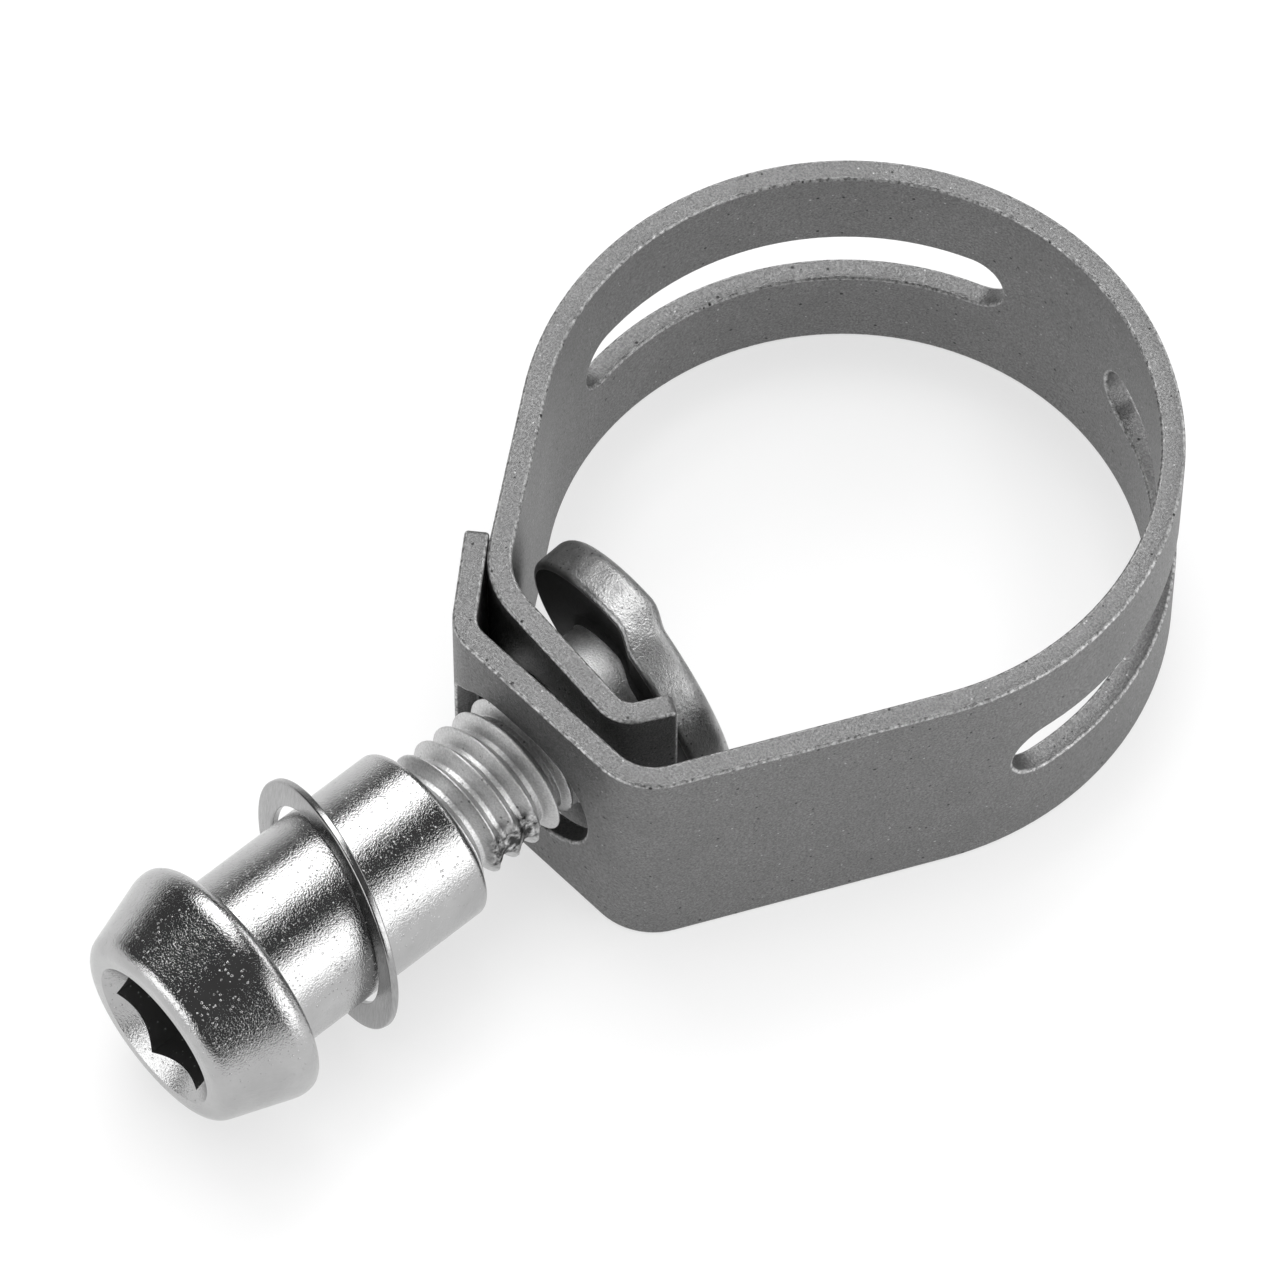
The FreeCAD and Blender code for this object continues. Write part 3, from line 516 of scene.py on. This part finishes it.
bolt_mesh = bpy.data.meshes.new("headed_bolt")
bolt_shape = skin(bolt_rings, bolt_place, closed=False)
forged, shaded_near_face, rolled = 0, 1, 2
for number, face in enumerate(bolt_shape.faces):
    row = number // turn_steps
    face.material_index = rolled if row >= neck_row else shaded_near_face if row >= near_face_row else forged
# The last two faces are the caps, first the one in the middle of the head's far face.
bolt_shape.faces.ensure_lookup_table()
bolt_shape.faces[-2].material_index = forged
crush_layer = bolt_shape.verts.layers.float.new("crushed_crest")
to_bolt = bolt_place.inverted()
for corner in bolt_shape.verts:
    side, inward, rise = to_bolt @ (corner.co / mm)
    corner[crush_layer] = crush_mark(-inward, math.atan2(rise, side))
finish_mesh(bolt_shape, bolt_mesh, 60)
bolt = put_in_scene("headed_bolt", bolt_mesh, forged_finish, near_face_shade_finish, rolled_finish)
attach(bolt, "bolt_body")
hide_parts("clamp_bolt")


# The sleeve nut. It is turned from bar and plated bright: a thin barrel threaded inside, on
# which the lever turns, and a domed head with a broached 5 mm hexagon for the key.
nut_mouth = Vector((-1.04149, -22.5, 0))
nut_place = Matrix.Translation(nut_mouth) @ Matrix.Rotation(bolt_yaw, 4, "Z")
barrel_radius = 3.87
barrel_length = 9.85
nut_length = 14.12
rim_radius = 5.375
rim_width = 0.9
front_radius = 4.24
mouth_radius = 3.3
thread_bore = 3.025
hex_half_width = 2.5
hex_depth = 3.6
hex_turn = math.radians(15)
countersink_radius = 3.237
floor_hole_radius = 2.0
floor_thickness = 1.2


def hexagon_radius(angle):
    off_middle = (angle - hex_turn) % (math.pi / 3) - math.pi / 6
    return hex_half_width / math.cos(off_middle)


outside = rounded_section(
    [(0.0, mouth_radius, 0), (0.0, barrel_radius, 0.35), (barrel_length, barrel_radius, 0.1),
     (barrel_length, rim_radius, 0.6), (barrel_length + rim_width, rim_radius, 1.6),
     (nut_length, front_radius, 0.8), (nut_length, countersink_radius, 0)], closed=False)
nut_rings = []
for along, radius in outside:
    nut_rings.append([turned_point(radius, -along, angle) for angle in turn_angles])
# The countersink runs down to where it meets the hexagon, which is lower at its flats. A last
# ring just below that border keeps it crisp.
border_drop = 0.03
for share, drop in ((0.25, 0), (0.5, 0), (0.75, 0), (1.0, 0), (1.0, border_drop)):
    ring = []
    for angle in turn_angles:
        depth = (countersink_radius - hexagon_radius(angle)) * share
        ring.append(turned_point(countersink_radius - depth, depth + drop - nut_length, angle))
    nut_rings.append(ring)
socket_row = len(nut_rings) - 1
for depth in (0.9, 1.6, 2.4, 3.2, hex_depth):
    nut_rings.append([turned_point(hexagon_radius(angle), depth - nut_length, angle)
                      for angle in turn_angles])
floor_depth = hex_depth + floor_thickness
for depth, radius in [(hex_depth, floor_hole_radius), (floor_depth, floor_hole_radius),
                      (floor_depth, thread_bore), (nut_length - 0.25, thread_bore)]:
    nut_rings.append([turned_point(radius, depth - nut_length, angle) for angle in turn_angles])

# Bright nickel plate on turned steel: a soft mirror with an orange peel of about 0.1 mm and
# fine grit under the plate, which break the borders of what it reflects into specks.
nut_finish, tree, spot = new_finish("bright_nickel_plate")
peel = noise_between(tree, spot, 0.08, 0.0, 1.0, 2.0)
grit = speckle(tree, spot, 0.15, 0.06, 0.6)
haze = noise_between(tree, spot, 1.8, 0.0, 1.0, 4.0)
tone = blend(tree, haze, "#A6A6A6", "#B2B2B2")
dullness = noise_between(tree, spot, 0.9, 0.08, 0.13)
relief = add_node(tree, "ShaderNodeMath", {"operation": "MULTIPLY_ADD", 1: 1.8},
                  {0: grit, 2: peel})
metal_surface(tree, tone, dullness, relief.outputs[0], 0.007)

# Down in the socket and the bore the plate is thin over broached and tapped metal: dull grey,
# with painted glints: near-white specks about 0.15 mm apart.
socket_finish, tree, spot = new_finish("thin_plate_on_broached_wall")
glint_specks = speckle(tree, spot, 0.15, 0.05, 0.4)
# Painted highlight: near-white specks painted on the socket's walls as glints.
tone = blend(tree, glint_specks, "#8C8C8C", "#E4E4E4")
dullness = noise_between(tree, spot, 0.3, 0.36, 0.46)
metal_surface(tree, tone, dullness, glint_specks, 0.006)

nut_mesh = bpy.data.meshes.new("plated_sleeve_nut")
nut_shape = skin(nut_rings, nut_place, closed=True)
mouth_row = len(nut_rings) - 1
for number, face in enumerate(nut_shape.faces):
    face.material_index = int(socket_row <= number // turn_steps < mouth_row)
finish_mesh(nut_shape, nut_mesh, 32)
nut = put_in_scene("plated_sleeve_nut", nut_mesh, nut_finish, socket_finish)
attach(nut, "nut_body")
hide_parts("sleeve_nut")


# The thin washer. It is stamped from 0.3 mm stainless sheet, lies loose on the nut's barrel
# under its head, and hangs on it at a slant until the lever is fitted.
washer_low, washer_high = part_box("washer")
washer_centre = (washer_low + washer_high) / 2 / mm
washer_axis = Vector((-0.2303, -0.9689, 0.0906))
washer_place = Matrix.Translation(washer_centre) @ Vector((0, -1, 0)).rotation_difference(
    washer_axis).to_matrix().to_4x4()
washer_hole, washer_radius, washer_half = 4.25, 5.37, 0.165
washer_section = rounded_section(
    [(-washer_half, washer_hole, 0.06), (washer_half, washer_hole, 0.1),
     (washer_half, washer_radius, 0.1), (-washer_half, washer_radius, 0.06)],
    closed=True, arc_steps=4)
washer_rings = [[turned_point(radius, -along, angle) for angle in turn_angles]
                for along, radius in washer_section]

# Stamped stainless sheet, barrelled bright: a soft mirror with fine scratches along the
# rolling, drawn about 0.08 mm apart so that they show.
washer_finish, tree, spot = new_finish("barrelled_stainless_sheet")
stretch = add_node(tree, "ShaderNodeMapping", {"Scale": (1.0, 1.0, 0.08)}, {"Vector": spot})
scratch = noise_between(tree, stretch.outputs["Vector"], 0.08, 0.0, 1.0)
tone = blend(tree, scratch, "#8E8E8E", "#A0A0A0")
dullness = noise_between(tree, stretch.outputs["Vector"], 0.2, 0.18, 0.28)
metal_surface(tree, tone, dullness, scratch, 0.0015)

washer_mesh = bpy.data.meshes.new("stamped_washer")
finish_mesh(skin(washer_rings, washer_place, closed=True), washer_mesh, 50)
washer = put_in_scene("stamped_washer", washer_mesh, washer_finish)
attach(washer, "washer_body")
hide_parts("washer")


# The table. A plain matt white sheet under the clamp, which shows white wherever it is seen
# directly or in the metal, less what the clamp's shadow takes from it.
table_size = 3.0
table_level = cad_low.z - 0.05 * mm
table_whiteness = 0.62
table_mesh = bpy.data.meshes.new("white_table")
shape = bmesh.new()
corners = [shape.verts.new((side * table_size, depth * table_size, table_level))
           for side, depth in ((-1, -1), (1, -1), (1, 1), (-1, 1))]
shape.faces.new(corners)
shape.to_mesh(table_mesh)
shape.free()
table_finish, tree, spot = new_finish("matt_white_laminate")
paper = add_node(tree, "ShaderNodeTexNoise", {"Scale": 1 / (0.5 * mm), "Detail": 3.0},
                 {"Vector": spot})
bump = add_node(tree, "ShaderNodeBump", {"Strength": 0.05, "Distance": 0.01 * mm},
                {"Height": paper.outputs["Fac"]})
board = add_node(tree, "ShaderNodeBsdfPrincipled",
                 {"Base Color": colour("#F0F0F0"), "Roughness": 0.7, "Specular IOR Level": 0.1},
                 {"Normal": bump.outputs["Normal"]})
ray = add_node(tree, "ShaderNodeLightPath")
seen = add_node(tree, "ShaderNodeMath", {"operation": "MAXIMUM"},
                {0: ray.outputs["Is Camera Ray"], 1: ray.outputs["Is Glossy Ray"]})
seen_at_all = add_node(tree, "ShaderNodeMath", {"operation": "MAXIMUM"},
                       {0: seen.outputs[0], 1: ray.outputs["Is Transmission Ray"]})
white_share = add_node(tree, "ShaderNodeMath", {"operation": "MULTIPLY", 1: table_whiteness},
                       {0: seen_at_all.outputs[0]})
white = add_node(tree, "ShaderNodeEmission", {"Color": colour("#FFFFFF"), "Strength": 1.0})
table_surface = add_node(tree, "ShaderNodeMixShader", {},
                         {0: white_share.outputs[0], 1: board.outputs["BSDF"],
                          2: white.outputs["Emission"]})
add_node(tree, "ShaderNodeOutputMaterial", {}, {"Surface": table_surface.outputs["Shader"]})
table_mesh.materials.append(table_finish)
table = bpy.data.objects.new("white_table", table_mesh)
bpy.context.scene.collection.objects.link(table)


# The studio. Dark walls, and soft boxes round the table that the bright metal mirrors: a large
# and a small one overhead on the left, one upright on the right, a low one before it and one
# behind, and a dim reflector low on the left. A wide fill lamp overhead lights the table alone.
studio = bpy.data.worlds.new("dark_studio")
studio.use_nodes = True
studio.node_tree.nodes.clear()
walls = add_node(studio.node_tree, "ShaderNodeBackground",
                 {"Color": colour("#FFFFFF"), "Strength": 0.09})
add_node(studio.node_tree, "ShaderNodeOutputWorld", {}, {"Surface": walls.outputs["Background"]})
bpy.context.scene.world = studio


def add_lamp(name, towards, edge, distance, wide, high, brightness):
    # A soft box that faces the clamp from a direction, with two sides parallel to the edge.
    lamp = bpy.data.lights.new(name, "AREA")
    lamp.shape = "RECTANGLE"
    lamp.size = wide
    lamp.size_y = high
    lamp.energy = brightness * math.pi * wide * high
    box = bpy.data.objects.new(name, lamp)
    back = Vector(towards).normalized()
    across = Vector(edge).cross(back).normalized()
    box.matrix_world = Matrix.Translation(back * distance) @ Matrix(
        (across, back.cross(across), back)).transposed().to_4x4()
    bpy.context.scene.collection.objects.link(box)
    return box


add_lamp("left_soft_box", (-0.458, 0.33, 0.826), (0, 1, 0), 1.2, 0.64, 0.9, 5.0)
add_lamp("top_soft_box", (-0.1, 0.08, 0.99), (0, 1, 0), 1.2, 0.26, 0.26, 5.0)
add_lamp("left_reflector", (-0.92, 0.4, 0.16), (0, 0, 1), 1.2, 0.6, 0.36, 0.4)
add_lamp("right_soft_box", (0.9, 0.25, 0.345), (0, 0, 1), 1.1, 0.8, 0.8, 3.0)
add_lamp("front_soft_box", (-0.2, -0.92, 0.33), (0, 0, 1), 1.1, 1.1, 0.6, 2.6)
add_lamp("back_soft_box", (0.2, 0.87, 0.44), (0, 0, 1), 1.2, 1.0, 0.45, 2.5)
fill = add_lamp("fill_lamp", (0, 0.01, 1), (0, 1, 0), 1.3, 1.4, 1.4, 2.0)
fill.visible_glossy = False


# The camera. It stands off to the right of the bolt and looks down on the clamp from 59 degrees
# up, through a long lens, and the clamp lies a little off the middle of its picture.
azimuth, elevation, roll = math.radians(45.96), math.radians(58.97), math.radians(0.16)
distance, shift_left, shift_down = 392.1, 8.47, 5.125
back = Vector((math.sin(azimuth) * math.cos(elevation), -math.cos(azimuth) * math.cos(elevation),
               math.sin(elevation)))
level = Vector((math.cos(azimuth), math.sin(azimuth), 0))
upward = back.cross(level)
right = level * math.cos(roll) + upward * math.sin(roll)
up = upward * math.cos(roll) - level * math.sin(roll)
place = (back * distance - right * shift_left - up * shift_down) * mm
lens = bpy.data.cameras.new("long_lens")
lens.lens = 271.9
lens.sensor_width = 36
lens.clip_start = 0.05
lens.clip_end = 10
camera = bpy.data.objects.new("camera", lens)
camera.matrix_world = Matrix.Translation(place) @ Matrix((right, up, back)).transposed().to_4x4()
bpy.context.scene.collection.objects.link(camera)
bpy.context.scene.camera = camera
bpy.context.scene.view_settings.view_transform = "Standard"
